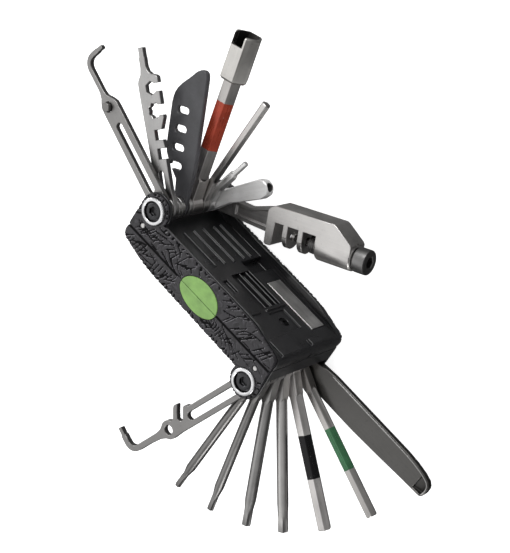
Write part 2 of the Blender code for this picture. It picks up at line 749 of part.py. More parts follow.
def make_adapter(pivot):
    """Hexagonal sleeve that pushes onto the 8 mm key. Its front wall is cut away at the outer end."""
    middle = (HEX_8[0] + HEX_8[1]) / 2
    r = hex_radius(ADAPTER_FLATS)
    bore = hex_radius(ADAPTER_BORE_FLATS)
    bm = bmesh.new()
    bar(bm, [(ADAPTER_START, r - 1.2, 0), (ADAPTER_START + 1.2, r, 0), (ADAPTER_END - 0.7, r, 0),
             (ADAPTER_END, r - 0.7, 0)], 0, middle, 6)
    sleeve = add("hex_adapter", bm, "light_steel", pivot, OPEN["hex_key_8"])
    cut(sleeve, "hex_adapter_bore",
        lambda bm: bar(bm, [(ADAPTER_START - 2, bore, 0), (ADAPTER_END + 2, bore, 0)], 0, middle, 6))

    def notch(bm):
        block(bm, ADAPTER_END - ADAPTER_NOTCH, ADAPTER_END + 3, -2.6, 4.6, middle - 9, middle - 1.5)

    cut(sleeve, "hex_adapter_notch", notch)


# ---------------------------------------------------------------- chain tool

def make_chain_arm(pivot):
    outline = (
        hub_back()
        + [(9.0, -5.6), (21.0, -6.6), (36.0, -7.6), (36.0, -5.0), (40.4, -5.0), (40.4, 4.6), (36.0, 4.6)]
        + [(36.0, 6.2), (21.0, 1.8), (12.0, 2.6)]
    )
    # The tongue past X = 36 sits in the head's mortise.
    arm = plate("chain_tool_arm", outline, CHAIN_ARM, "dark_steel", pivot, CHAIN_ANGLE)
    cut_bore(arm, CHAIN_ARM)
    trough = [(13.0, -3.6), (33.5, -5.0), (33.5, 3.4), (21.0, 0.0), (13.0, 0.6)]
    cut(arm, "chain_arm_trough", lambda bm: prism(bm, trough, CHAIN_ARM[0] - 1, CHAIN_ARM[0] + 1.2))
    cut_outline(arm, "chain_arm_eye", circle(38.6, 2.4, 1.2 + GAP, 12), CHAIN_ARM)


def make_chain_head(pivot):
    """The head: a bridge, a claw, two posts with round feet and the barrel that holds the driver."""
    outline = [(37.6, 7.4), (36.6, 5.8), (36.6, -9.8), (37.3, -10.5), (40.1, -10.5), (40.7, -9.9)]
    outline += [(41.4, 1.1)]
    for start, end in POSTS:
        outline += [(start, 1.1), (start, SCREW_LINE_Y), (end, SCREW_LINE_Y), (end, 1.1)]
    outline += [(64.3, 1.1), (64.3, SCREW_LINE_Y), (83.5, SCREW_LINE_Y), (83.5, 1.2), (82.8, 2.2)]
    outline += [(74.2, 8.6), (72.9, 9.2), (40.2, 8.9)]
    layer = (HEAD_FRONT, CHAIN_ARM[1])
    head = plate("chain_tool_head", outline, layer, "light_steel", pivot, CHAIN_ANGLE)
    r = BARREL_RADIUS
    barrel = [(64.3, r - 0.6, 0), (65.0, r, 0), (83.2, r, 0), (84.0, r - 0.8, 0)]
    join(head, "chain_head_barrel", lambda bm: bar(bm, barrel, SCREW_LINE_Y, SCREW_DEPTH, 32))

    def behind_posts(bm):
        block(bm, 44.0, 60.0, SCREW_LINE_Y - 2, 0.9, POST_BACK, CHAIN_ARM[1] + 2)

    def feet(bm):
        for start, end in POSTS:
            bar(bm, [(start, BOSS_RADIUS, 0), (end, BOSS_RADIUS, 0)], SCREW_LINE_Y, SCREW_DEPTH, 32)

    def screw_way(bm):
        reach = THREAD_RADIUS + GAP
        bar(bm, [(60.0, reach, 0), (90.0, reach, 0)], SCREW_LINE_Y, SCREW_DEPTH, 24)

    def pin_way(bm):
        reach = PUSH_PIN_RADIUS + GAP
        bar(bm, [(43.0, reach, 0), (61.0, reach, 0)], SCREW_LINE_Y, SCREW_DEPTH, 16)

    def mortise(bm):
        block(bm, 35.0, 40.8, -5.3, 4.9, CHAIN_ARM[0] - GAP, CHAIN_ARM[1] + 2)

    cut(head, "chain_head_behind_posts", behind_posts)
    join(head, "chain_head_feet", feet)
    cut(head, "chain_head_screw_way", screw_way)
    cut(head, "chain_head_pin_way", pin_way)
    cut(head, "chain_head_mortise", mortise)
    # The rivet goes in from the back and stops short of the front face.
    eye = circle(38.6, 2.4, 1.2 + GAP, 12)
    cut(head, "chain_head_eye", lambda bm: prism(bm, eye, HEAD_FRONT + 2.0, CHAIN_ARM[1] + 2))
    bm = bmesh.new()
    disc(bm, 38.6, 2.4, 1.2, HEAD_FRONT + 2.0 + GAP, CHAIN_ARM[1] - 0.1, 12)
    add("chain_tool_rivet", bm, "light_steel", pivot, CHAIN_ANGLE)


def make_driver(pivot):
    """The push pin and the driver screw, both on the barrel's axis."""
    bm = bmesh.new()
    r = PUSH_PIN_RADIUS
    bar(bm, [(50.3, r - 0.3, 0), (50.7, r, 0), (59.0, r, 0)], SCREW_LINE_Y, SCREW_DEPTH, 16)
    add("push_pin", bm, "dark_steel", pivot, CHAIN_ANGLE)
    bm = bmesh.new()
    t = THREAD_RADIUS
    bar(bm, [(59.3, t - 0.7, 0), (60.0, t, 0), (84.6, t, 0), (84.6, 5.3, 0), (85.2, 6.0, 0), (90.6, 6.0, 0),
             (91.3, 5.3, 0)], SCREW_LINE_Y, SCREW_DEPTH, 28)
    screw = add("driver_screw", bm, "dark_steel", pivot, CHAIN_ANGLE)
    socket = hex_radius(5.0)
    cut(screw, "driver_socket",
        lambda bm: bar(bm, [(86.5, socket, 0), (94.0, socket, 0)], SCREW_LINE_Y, SCREW_DEPTH, 6))


# ---------------------------------------------------------------- whole object

def main():
    clear_scene()
    root = empty("multi_tool")
    pivot_a = make_half("a", root, True, True, WASHERS_A)
    pivot_b = make_half("b", root, False, False, WASHERS_B)

    make_peg_hook(pivot_a)
    make_spoke_wrench(pivot_a)
    make_blade(pivot_a)
    make_hex_key("hex_key_8", HEX_8, 76.0, pivot_a)
    make_adapter(pivot_a)
    make_hex_key("hex_key_4", HEX_4, 62.9, pivot_a)
    make_hex_key("hex_key_2_5", HEX_2_5, 31.6, pivot_a, tip=(8.5, 2.5))
    make_socket_bar(pivot_a)
    make_chain_arm(pivot_a)
    make_chain_head(pivot_a)
    make_driver(pivot_a)

    make_chain_hook(pivot_b)
    make_star_key("star_key_10", STAR_10, 78.2, 1.45, pivot_b)
    make_star_key("star_key_15", STAR_15, 79.4, 1.65, pivot_b)
    make_star_key("star_key_25", STAR_25, 80.0, 2.2, pivot_b)
    make_star_key("star_key_30", STAR_30, 80.2, 2.5, pivot_b)
    make_hex_key("hex_key_6", HEX_6, 79.8, pivot_b)
    make_hex_key("hex_key_5", HEX_5, 79.9, pivot_b)
    make_lever(pivot_b)


main()
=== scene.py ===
"""Looks of the folding bicycle multi-tool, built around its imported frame.

Distances are metres in the frame's own axes, except where a comment says millimetres. The body lies
along X, its covers face +Z and -Z, and the two pivots stand along Z.
"""

import math
import random

import bmesh
import bpy
import numpy as np
from mathutils import Matrix, Vector


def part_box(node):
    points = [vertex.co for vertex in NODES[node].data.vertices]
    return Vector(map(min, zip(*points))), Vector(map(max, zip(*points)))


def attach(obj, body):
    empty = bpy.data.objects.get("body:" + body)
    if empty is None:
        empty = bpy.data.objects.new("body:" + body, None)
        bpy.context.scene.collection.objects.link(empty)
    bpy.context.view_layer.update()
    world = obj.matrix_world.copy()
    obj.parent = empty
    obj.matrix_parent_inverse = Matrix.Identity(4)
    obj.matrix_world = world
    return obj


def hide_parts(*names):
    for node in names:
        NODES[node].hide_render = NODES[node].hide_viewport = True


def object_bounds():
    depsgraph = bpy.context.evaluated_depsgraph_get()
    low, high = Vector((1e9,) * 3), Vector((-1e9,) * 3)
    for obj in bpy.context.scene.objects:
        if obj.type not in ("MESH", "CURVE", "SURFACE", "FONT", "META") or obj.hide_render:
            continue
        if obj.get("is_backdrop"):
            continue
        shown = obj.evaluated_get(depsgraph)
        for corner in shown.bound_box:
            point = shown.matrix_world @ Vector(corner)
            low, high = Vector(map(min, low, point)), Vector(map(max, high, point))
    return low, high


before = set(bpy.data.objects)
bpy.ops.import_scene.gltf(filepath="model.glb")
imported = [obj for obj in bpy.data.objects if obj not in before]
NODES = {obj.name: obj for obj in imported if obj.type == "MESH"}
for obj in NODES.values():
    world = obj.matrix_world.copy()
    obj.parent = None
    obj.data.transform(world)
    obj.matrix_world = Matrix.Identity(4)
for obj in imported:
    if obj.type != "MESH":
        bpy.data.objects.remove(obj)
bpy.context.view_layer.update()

PIVOT_A = (-0.042, 0.014)
PIVOT_B = (0.042, -0.014)

# Direction each tool points in, in degrees from +X
DIRECTIONS = {
    "peg_hook_key": (PIVOT_A, 160.3),
    "hook_peg": (PIVOT_A, 160.3),
    "spoke_wrench": (PIVOT_A, 136.5),
    "plastic_blade": (PIVOT_A, 116.0),
    "hex_key_8": (PIVOT_A, 103.3),
    "hex_adapter": (PIVOT_A, 103.3),
    "hex_key_4": (PIVOT_A, 87.3),
    "hex_key_2_5": (PIVOT_A, 75.6),
    "socket_bar": (PIVOT_A, 51.0),
    "chain_tool_arm": (PIVOT_A, 26.0),
    "chain_tool_head": (PIVOT_A, 26.0),
    "chain_tool_rivet": (PIVOT_A, 26.0),
    "push_pin": (PIVOT_A, 26.0),
    "driver_screw": (PIVOT_A, 26.0),
    "chain_hook_key": (PIVOT_B, 250.0),
    "star_key_10": (PIVOT_B, 269.0),
    "star_key_15": (PIVOT_B, 282.4),
    "star_key_25": (PIVOT_B, 295.3),
    "star_key_30": (PIVOT_B, 307.5),
    "hex_key_6": (PIVOT_B, 321.4),
    "hex_key_5": (PIVOT_B, 338.5),
    "tyre_lever": (PIVOT_B, 359.5),
}


# ---------------------------------------------------------------- materials

BLUR = 0.0001  # half the width over which a painted band or the painted shade in a bore ends
TURNING_PITCH = 0.00032


class Tree:
    """A material and short calls that add nodes to it."""

    def __init__(self, name):
        self.material = bpy.data.materials.new(name)
        self.material.use_nodes = True
        self.tree = self.material.node_tree
        self.shader = self.tree.nodes["Principled BSDF"]

    def node(self, kind, inputs=None, **settings):
        made = self.tree.nodes.new(kind)
        for key, value in settings.items():
            setattr(made, key, value)
        for key, value in (inputs or {}).items():
            self.give(made.inputs[key], value)
        return made

    def give(self, socket, value):
        if isinstance(value, bpy.types.NodeSocket):
            self.tree.links.new(value, socket)
        else:
            socket.default_value = value

    def set(self, **values):
        for key, value in values.items():
            self.give(self.shader.inputs[key.replace("_", " ")], value)

    def math(self, operation, a, b=0.0, clamp=False):
        made = self.node("ShaderNodeMath", {0: a, 1: b}, operation=operation, use_clamp=clamp)
        return made.outputs[0]

    def local(self, pivot=(0.0, 0.0), angle=0.0, height=0.0):
        """Coordinates with the origin on a pivot and X along a tool."""
        source = self.node("ShaderNodeTexCoord").outputs["Object"]
        made = self.node("ShaderNodeMapping", {"Vector": source}, vector_type="TEXTURE")
        made.inputs["Location"].default_value = (*pivot, height)
        made.inputs["Rotation"].default_value = (0, 0, math.radians(angle))
        return made.outputs["Vector"]

    def stretched(self, vector, scale):
        made = self.node("ShaderNodeMapping", {"Vector": vector, "Scale": scale}, vector_type="POINT")
        return made.outputs["Vector"]

    def noise(self, vector, scale, detail=3.0, roughness=0.55):
        made = self.node("ShaderNodeTexNoise", {
            "Vector": vector, "Scale": scale, "Detail": detail, "Roughness": roughness})
        return made.outputs["Fac"]

    def ramp(self, fac, stops):
        """Turns a value into another by straight lines between (place, value) stops."""
        made = self.node("ShaderNodeValToRGB", {"Fac": fac})
        elements = made.color_ramp.elements
        while len(elements) < len(stops):
            elements.new(0.5)
        for element, (place, value) in zip(elements, stops):
            element.position = place
            element.color = (value, value, value, 1)
        return made.outputs["Color"]

    def remap(self, value, low, high, to_low, to_high):
        made = self.node("ShaderNodeMapRange", {
            "Value": value, "From Min": low, "From Max": high, "To Min": to_low, "To Max": to_high})
        return made.outputs["Result"]

    def mix(self, fac, a, b):
        made = self.node("ShaderNodeMix", data_type="RGBA")
        self.give(made.inputs[0], fac)
        for place, value in ((6, a), (7, b)):
            if not isinstance(value, bpy.types.NodeSocket):
                value = (*value, 1)
            self.give(made.inputs[place], value)
        return made.outputs[2]

    def bump(self, height, distance, strength=1.0, normal=None):
        made = self.node("ShaderNodeBump", {"Height": height, "Distance": distance, "Strength": strength})
        if normal:
            self.give(made.inputs["Normal"], normal)
        return made.outputs["Normal"]


def scaled(tone, factor, lift=0.0):
    """A colour made darker or lighter, and kept within 0 to 1."""
    return tuple(min(1.0, c * factor + lift) for c in tone)


def steel(name, pivot, angle, tone, rough, band=None, metal=1.0, bore=None):
    """Satin tool steel with streaks along the tool, faint dents and handling marks.

    A band is (start, end, colour): an enamelled ring round the shank, in metres from the pivot.
    A bore is (height, radius, start): what lies this near to the tool's line, and past the start, is the
    bore's inside, painted near black as shade.
    """
    t = Tree(name)
    bore_height, bore_radius, bore_start = bore or (0.0, 0.0, 0.0)
    at = t.local(pivot, angle, bore_height)
    along = t.stretched(at, (40.0, 900.0, 900.0))
    streaks = t.noise(along, 1.0, 4.0, 0.6)
    cloud = t.noise(at, 95.0, 3.0, 0.55)
    fine = t.noise(at, 2600.0, 2.0, 0.6)
    pits = t.noise(at, 620.0, 2.0, 0.5)
    shade = t.math("ADD", t.math("MULTIPLY", streaks, 0.45), t.math("MULTIPLY", cloud, 0.75))
    colour = t.mix(t.remap(shade, 0.35, 0.85, 0.0, 1.0), scaled(tone, 0.80), scaled(tone, 1.14))
    specks = t.ramp(pits, [(0.0, 1.0), (0.30, 1.0), (0.36, 0.0), (1.0, 0.0)])
    colour = t.mix(t.math("MULTIPLY", specks, 0.16), colour, scaled(tone, 0.45))
    roughness = t.remap(t.math("ADD", streaks, cloud), 0.7, 1.35, rough - 0.07, rough + 0.11)
    relief = t.math("ADD", t.math("MULTIPLY", streaks, 0.5), t.math("MULTIPLY", fine, 0.5))
    normal = t.bump(relief, 0.00003, 0.55)
    normal = t.bump(pits, 0.00003, 0.12, normal)
    if band:
        start, end, paint = band
        x = t.node("ShaderNodeSeparateXYZ", {"Vector": at}).outputs["X"]
        wobble = t.math("MULTIPLY", t.math("SUBTRACT", t.noise(at, 700.0), 0.5), 0.0005)
        x = t.math("ADD", x, wobble)
        inside = t.math("MULTIPLY", t.remap(x, start - BLUR, start + BLUR, 0.0, 1.0),
                        t.remap(x, end - BLUR, end + BLUR, 1.0, 0.0))
        scuffs = t.ramp(t.noise(t.stretched(at, (220.0, 700.0, 700.0)), 1.0, 5.0, 0.7),
                        [(0.0, 0.0), (0.66, 0.0), (0.72, 0.75), (1.0, 1.0)])
        inside = t.math("MULTIPLY", inside, t.math("SUBTRACT", 1.0, scuffs), clamp=True)
        mottled = t.mix(t.remap(cloud, 0.3, 0.7, 0.0, 1.0), scaled(paint, 0.72), scaled(paint, 1.2))
        colour = t.mix(inside, colour, mottled)
        metal = t.remap(inside, 0.0, 1.0, metal, 0.45)
        roughness = t.math("ADD", roughness, t.math("MULTIPLY", inside, -0.06))
        normal = t.bump(inside, 0.00006, 0.8, normal)
    if bore:
        across = t.stretched(at, (0.0, 1.0, 1.0))
        radius = t.node("ShaderNodeVectorMath", {0: across}, operation="LENGTH").outputs["Value"]
        bore_shade = t.remap(radius, bore_radius, bore_radius + 2 * BLUR, 0.92, 0.0)
        x = t.node("ShaderNodeSeparateXYZ", {"Vector": at}).outputs["X"]
        bore_shade = t.math("MULTIPLY", bore_shade, t.remap(x, bore_start, bore_start + 2 * BLUR, 0.0, 1.0))
        # Painted shade: the inside of the bore is painted near black.
        colour = t.mix(bore_shade, colour, scaled(tone, 0.03))
    t.set(Base_Color=colour, Roughness=roughness, Metallic=metal, Normal=normal)
    return t.material


def plastic(name, tone, rough, grain, scuffing=0.5, gloss=0.5):
    """Moulded plastic with a fine spark-eroded grain and slight scuffs."""
    t = Tree(name)
    at = t.node("ShaderNodeTexCoord").outputs["Object"]
    cloud = t.noise(at, 120.0, 4.0, 0.6)
    grains = t.noise(at, 3200.0, 2.0, 0.6)
    cells = t.node("ShaderNodeTexVoronoi", {"Vector": at, "Scale": 1500.0}).outputs["Distance"]
    scuffs = t.noise(t.stretched(at, (180.0, 950.0, 500.0)), 1.0, 5.0, 0.7)
    mark = t.ramp(scuffs, [(0.0, 0.0), (0.60, 0.0), (0.74, 1.0), (1.0, 1.0)])
    colour = t.mix(t.remap(cloud, 0.3, 0.7, 0.0, 1.0), scaled(tone, 0.78), scaled(tone, 1.22))
    colour = t.mix(t.math("MULTIPLY", mark, 0.28 * scuffing), colour, scaled(tone, 2.6, 0.01))
    dull = t.math("ADD", cloud, t.math("MULTIPLY", mark, 0.4))
    roughness = t.remap(dull, 0.3, 1.0, rough - 0.07, rough + 0.14)
    relief = t.math("ADD", t.math("MULTIPLY", grains, 0.5), t.math("MULTIPLY", cells, 0.5))
    normal = t.bump(relief, grain, 0.6)
    t.set(Base_Color=colour, Roughness=roughness, Normal=normal, Specular_IOR_Level=gloss)
    return t.material


def chiselled_plastic(name, tone, rough):
    """Charcoal plastic broken by fine chiselled lines that lean two ways, each painted dark as shade and
    with a painted highlight along its edge.
    """
    t = Tree(name)
    at = t.node("ShaderNodeTexCoord").outputs["Object"]
    wander = t.node("ShaderNodeTexNoise", {"Vector": at, "Scale": 190.0, "Detail": 2.0}).outputs["Color"]
    bent = t.node("ShaderNodeVectorMath", {0: wander, 1: (0.0022, 0.0022, 0.0), 2: at},
                  operation="MULTIPLY_ADD").outputs["Vector"]
    cloud = t.noise(at, 150.0, 4.0, 0.6)
    grains = t.noise(at, 2600.0, 3.0, 0.6)
    cut, edge_highlight = 0.0, 0.0
    for turn, scale, seed in ((38.0, (95.0, 300.0, 1.0), 0.011), (-52.0, (110.0, 330.0, 1.0), 0.047)):
        turned = t.node("ShaderNodeMapping", {"Vector": bent}, vector_type="POINT")
        turned.inputs["Rotation"].default_value = (0, 0, math.radians(turn))
        turned.inputs["Location"].default_value = (seed, seed, 0)
        cells = t.stretched(turned.outputs["Vector"], scale)
        gap = t.node("ShaderNodeTexVoronoi", {"Vector": cells, "Scale": 1.0},
                     feature="DISTANCE_TO_EDGE").outputs["Distance"]
        there = t.ramp(t.noise(t.stretched(turned.outputs["Vector"], (260.0, 260.0, 1.0)), 1.0, 1.0),
                       [(0.0, 0.0), (0.52, 0.0), (0.58, 1.0), (1.0, 1.0)])
        line = t.ramp(gap, [(0.0, 1.0), (0.05, 1.0), (0.08, 0.0), (1.0, 0.0)])
        edge = t.ramp(gap, [(0.0, 0.0), (0.07, 0.0), (0.10, 1.0), (0.16, 0.0)])
        cut = t.math("MAXIMUM", cut, t.math("MULTIPLY", line, there))
        edge_highlight = t.math("MAXIMUM", edge_highlight, t.math("MULTIPLY", edge, there))
    colour = t.mix(t.remap(cloud, 0.3, 0.7, 0.0, 1.0), scaled(tone, 0.75), scaled(tone, 1.25))
    # Painted highlight along the edge of each line, then painted shade in the line itself.
    colour = t.mix(t.math("MULTIPLY", edge_highlight, 0.35), colour, scaled(tone, 5.0))
    colour = t.mix(t.math("MULTIPLY", cut, 0.5), colour, scaled(tone, 0.18))
    dull = t.math("ADD", cloud, t.math("MULTIPLY", cut, 0.4))
    roughness = t.remap(dull, 0.3, 1.1, rough - 0.06, rough + 0.16)
    normal = t.bump(grains, 0.00005, 0.6)
    normal = t.bump(t.math("SUBTRACT", 1.0, cut), 0.00014, 0.6, normal)
    t.set(Base_Color=colour, Roughness=roughness, Normal=normal, Specular_IOR_Level=0.5)
    return t.material


def turned_metal(name, centre, tone, rough):
    """Metal with fine rings left by turning, round an upright axis."""
    t = Tree(name)
    at = t.local(centre)
    flat = t.stretched(at, (1.0, 1.0, 0.0))
    radius = t.node("ShaderNodeVectorMath", {0: flat}, operation="LENGTH").outputs["Value"]
    rings = t.math("SINE", t.math("MULTIPLY", radius, math.tau / TURNING_PITCH))
    cloud = t.noise(at, 260.0, 3.0, 0.6)
    fine = t.noise(at, 1900.0, 3.0, 0.6)
    colour = t.mix(t.remap(cloud, 0.3, 0.7, 0.0, 1.0), scaled(tone, 0.82), scaled(tone, 1.12))
    roughness = t.remap(t.math("ADD", cloud, fine), 0.7, 1.3, rough - 0.06, rough + 0.10)
    relief = t.math("ADD", t.math("MULTIPLY", rings, 0.35), t.math("MULTIPLY", fine, 0.5))
    t.set(Base_Color=colour, Roughness=roughness, Metallic=1.0, Normal=t.bump(relief, 0.00002, 0.6))
    return t.material


def rim_metal(name, tone, rough):
    """Sheared washer steel: dull, with fine upright marks."""
    t = Tree(name)
    at = t.node("ShaderNodeTexCoord").outputs["Object"]
    marks = t.noise(t.stretched(at, (1400.0, 1400.0, 90.0)), 1.0, 4.0, 0.6)
    cloud = t.noise(at, 340.0, 3.0, 0.6)
    colour = t.mix(t.remap(cloud, 0.3, 0.7, 0.0, 1.0), scaled(tone, 0.65), tone)
    roughness = t.remap(marks, 0.3, 0.7, rough - 0.06, rough + 0.12)
    t.set(Base_Color=colour, Roughness=roughness, Metallic=1.0, Normal=t.bump(marks, 0.00004, 0.6))
    return t.material


# ---------------------------------------------------------------- carried-over nodes

def shading_group(name, limit):
    """Geometry nodes that shade smoothly over edges flatter than the limit, in degrees."""
    group = bpy.data.node_groups.new(name, "GeometryNodeTree")
    group.interface.new_socket("Geometry", in_out="INPUT", socket_type="NodeSocketGeometry")
    group.interface.new_socket("Geometry", in_out="OUTPUT", socket_type="NodeSocketGeometry")
    start = group.nodes.new("NodeGroupInput")
    end = group.nodes.new("NodeGroupOutput")
    faces = group.nodes.new("GeometryNodeSetShadeSmooth")
    edges = group.nodes.new("GeometryNodeSetShadeSmooth")
    edges.domain = "EDGE"
    bend = group.nodes.new("GeometryNodeInputMeshEdgeAngle")
    flat = group.nodes.new("FunctionNodeCompare")
    flat.operation = "LESS_THAN"
    flat.inputs["B"].default_value = math.radians(limit)
    group.links.new(bend.outputs["Unsigned Angle"], flat.inputs["A"])
    group.links.new(start.outputs[0], faces.inputs["Geometry"])
    group.links.new(faces.outputs[0], edges.inputs["Geometry"])
    group.links.new(flat.outputs[0], edges.inputs["Shade Smooth"])
    group.links.new(edges.outputs[0], end.inputs[0])
    return group


WELD_GAP = 0.000004
FLAT_ANGLE = math.radians(0.6)  # faces that meet at less than this are one flat
CHAMFERED = shading_group("chamfered", 26)
ROUNDED = shading_group("rounded", 42)


def finish_node(name, material, bevel=0.0):
    """Gives a CAD node its material, a small chamfer on its edges and smooth shading where it is round."""
    node = NODES[name]
    node.data.materials.clear()
    node.data.materials.append(material)
    weld = node.modifiers.new("weld", "WELD")
    weld.merge_threshold = WELD_GAP
    if bevel:
        flat = node.modifiers.new("flat", "DECIMATE")
        flat.decimate_type = "DISSOLVE"
        flat.angle_limit = FLAT_ANGLE
        edge = node.modifiers.new("edge", "BEVEL")
        edge.width = bevel
        edge.segments = 1
        edge.limit_method = "ANGLE"
        edge.angle_limit = math.radians(32)
        edge.use_clamp_overlap = False
    shading = node.modifiers.new("shading", "NODES")
    shading.node_group = CHAMFERED if bevel else ROUNDED


LIGHT = (0.48, 0.47, 0.45)
DARK = (0.11, 0.107, 0.103)

TOOLS = {
    # name: (tone, roughness, bevel, band)
    "peg_hook_key": ((0.27, 0.265, 0.26), 0.40, 0.00022, None),
    "hook_peg": ((0.20, 0.195, 0.19), 0.36, 0.00020, None),
    "spoke_wrench": ((0.41, 0.405, 0.40), 0.38, 0.00020, None),
    "hex_key_8": ((0.53, 0.51, 0.495), 0.34, 0.00015, (0.0300, 0.0540, (0.42, 0.060, 0.030))),
    "hex_adapter": ((0.60, 0.585, 0.56), 0.36, 0.00012, None),
    "hex_key_4": ((0.60, 0.585, 0.57), 0.32, 0.00012, None),
    # The 2.5 mm key, the socket bar and the chain tool's arm are painted far lighter than the other steel:
    # painted light against the shadow they lie in.
    "hex_key_2_5": ((0.92, 0.905, 0.89), 0.34, 0.00015, None),
    "socket_bar": ((0.95, 0.935, 0.92), 0.40, 0.00045, None),
    "chain_tool_arm": ((0.45, 0.44, 0.435), 0.40, 0.00035, None),
    "chain_tool_head": ((0.63, 0.615, 0.60), 0.38, 0.00022, None),
    "chain_tool_rivet": (LIGHT, 0.36, 0.00010, None),
    "push_pin": (DARK, 0.30, 0.0, None),
    "driver_screw": (DARK, 0.34, 0.00030, None),
    "chain_hook_key": ((0.25, 0.245, 0.24), 0.40, 0.00022, None),
    "star_key_10": ((0.21, 0.205, 0.20), 0.34, 0.0, None),
    "star_key_15": ((0.23, 0.225, 0.22), 0.34, 0.0, None),
    "star_key_25": ((0.32, 0.315, 0.31), 0.34, 0.0, None),
    "star_key_30": ((0.50, 0.49, 0.48), 0.34, 0.0, None),
    "hex_key_6": ((0.72, 0.70, 0.685), 0.42, 0.00012, (0.0338, 0.0548, (0.004, 0.004, 0.005))),
    "hex_key_5": ((0.50, 0.485, 0.47), 0.34, 0.00012, (0.0347, 0.0559, (0.045, 0.155, 0.070))),
    "tyre_lever": (DARK, 0.36, 0.00028, None),
}

METALNESS = {"socket_bar": 0.62, "hex_key_2_5": 0.85}  # the rest are 1; these two are part non-metal so that they show paler, painted light against the shade they lie in
BORE_SIZES = {"hex_adapter": (0.00515, 0.055), "socket_bar": (0.00215, 0.025)}
BORES = {}
for name, bore_size in BORE_SIZES.items():
    low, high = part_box(name)
    BORES[name] = ((low[2] + high[2]) / 2, *bore_size)

for name, (tone, rough, bevel, band) in TOOLS.items():
    pivot, angle = DIRECTIONS[name]
    metal = METALNESS.get(name, 1.0)
    material = steel("steel_" + name, pivot, angle, tone, rough, band, metal, BORES.get(name))
    finish_node(name, material, bevel)

blade_plastic = plastic("blade_plastic", (0.056, 0.056, 0.061), 0.44, 0.00004, 0.7)
finish_node("plastic_blade", blade_plastic, 0.00040)

frame_plastic = plastic("frame_plastic", (0.011, 0.011, 0.012), 0.34, 0.00003, 0.6)
cover_plastic = chiselled_plastic("cover_plastic", (0.019, 0.0175, 0.021), 0.40)
# Painted shade for the carved grooves, and painted light for slopes that face the left lamp.
groove_shade_plastic = plastic("groove_shade_plastic", (0.003, 0.0028, 0.0034), 0.60, 0.00003, 0.1, 0.12)
lit_slope_plastic = plastic("lit_slope_plastic", (0.125, 0.119, 0.132), 0.34, 0.00003, 0.2)
emblem_green = plastic("emblem_green", (0.235, 0.43, 0.115), 0.42, 0.00003, 0.1)
# The washers at pivot B are a darker copy of the same steel, painted shade: they lie in shadow under the
# star keys.
washer_steel = {"a": rim_metal("washer_steel_a", (0.62, 0.61, 0.60), 0.32),
                "b": rim_metal("shaded_washer_steel_b", (0.13, 0.13, 0.13), 0.40)}
plate_steel = steel("plate_steel", (0.0, 0.0), 0.0, (0.80, 0.79, 0.78), 0.44)
# The bay screw is painted near black: painted shade of the hole it sits in.
shaded_screw_steel = turned_metal("shaded_screw_steel", (0.031, 0.0), (0.040, 0.040, 0.042), 0.34)

for side, centre in (("a", PIVOT_A), ("b", PIVOT_B)):
    ring_metal = turned_metal("ring_metal_" + side, centre, (0.72, 0.72, 0.73), 0.24)
    bolt_metal = turned_metal("bolt_metal_" + side, centre, (0.055, 0.055, 0.058), 0.30)
    finish_node("frame_" + side, frame_plastic, 0.00020)
    for place in ("front", "rear"):
        finish_node(f"{place}_cover_{side}", cover_plastic)
        finish_node(f"{place}_ring_{side}", ring_metal, 0.00020)
    finish_node("emblem_inlay_" + side, emblem_green, 0.00015)
    finish_node("frame_pin_" + side, washer_steel["a"], 0.00015)
    finish_node("pivot_bolt_" + side, bolt_metal, 0.00025)
    finish_node("pivot_nut_" + side, bolt_metal, 0.00025)
    finish_node("bay_screw_" + side, shaded_screw_steel, 0.0)
finish_node("bay_plate_a", plate_steel, 0.00010)
for name in NODES:
    if name.startswith("washer_"):
        finish_node(name, washer_steel[name[len("washer_")]], 0.00012)


# ---------------------------------------------------------------- carved covers

# Half A's cover, in millimetres
MM = 0.001
HALF_LENGTH = 50.0
HALF_WIDTH = 23.0
EMBLEM_X = 1.2
EMBLEM_HALF = (12.2, 8.2)
RING_RADIUS = 7.3
LOBE_RADIUS = 8.15
EDGE_Y = 11.0
STEP_DEPTH = 1.6  # the outer face is what lies higher than this below the highest point
EDGE_NICKS = {"front_a": 0.14, "front_b": 1.0, "rear_a": 0.3, "rear_b": 0.3}
CELL = 0.33

# Strokes: half width and depth, or the ranges that they are drawn from
SEAM = (0.48, 0.90)
FIBRE = ((0.26, 0.40), (0.30, 0.48))
FIBRE_STEP = 0.8
FIBRE_COUNT = 32
HATCH = ((0.26, 0.36), (0.42, 0.58))
NICK = ((0.35, 0.8), (0.4, 0.75))
GROOVE_SIDE = 0.65  # share of a stroke's half width that slopes
GROOVE_DEPTH = 0.20  # a face whose mean depth is greater is groove, painted dark as shade
LIT_SLOPE_DEPTH = 0.02  # and one between the two, tilted to the light, is painted lighter as lit
# Direction of the left lamp; slopes that face it get the painted light.
LIT_SLOPE_SIDE = (-0.90, -0.10, 0.42)


def add_piece(name, bm, material, body, node, sharp):
    """Shows a new mesh in place of a CAD node. The mesh is in the frame's own metres."""
    mesh = bpy.data.meshes.new(name)
    bm.to_mesh(mesh)
    bm.free()
    mesh.materials.append(material)
    mesh.shade_smooth()
    mesh.set_sharp_from_angle(angle=math.radians(sharp))
    piece = bpy.data.objects.new(name, mesh)
    bpy.context.scene.collection.objects.link(piece)
    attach(piece, body)
    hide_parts(node)
    return piece


def flow(x, y, phase):
    """Direction of the carved fibres, in radians, at a point of half A in millimetres."""
    fan = math.atan2(y + 7.0, x - EMBLEM_X) if x > EMBLEM_X else math.atan2(y + 7.0, EMBLEM_X - x)
    wave = 0.34 * math.sin(0.23 * x + phase) + 0.26 * math.sin(0.52 * y - 0.17 * x + 2.0 * phase)
    return (0.75 * fan if x > EMBLEM_X else -0.75 * fan) + wave


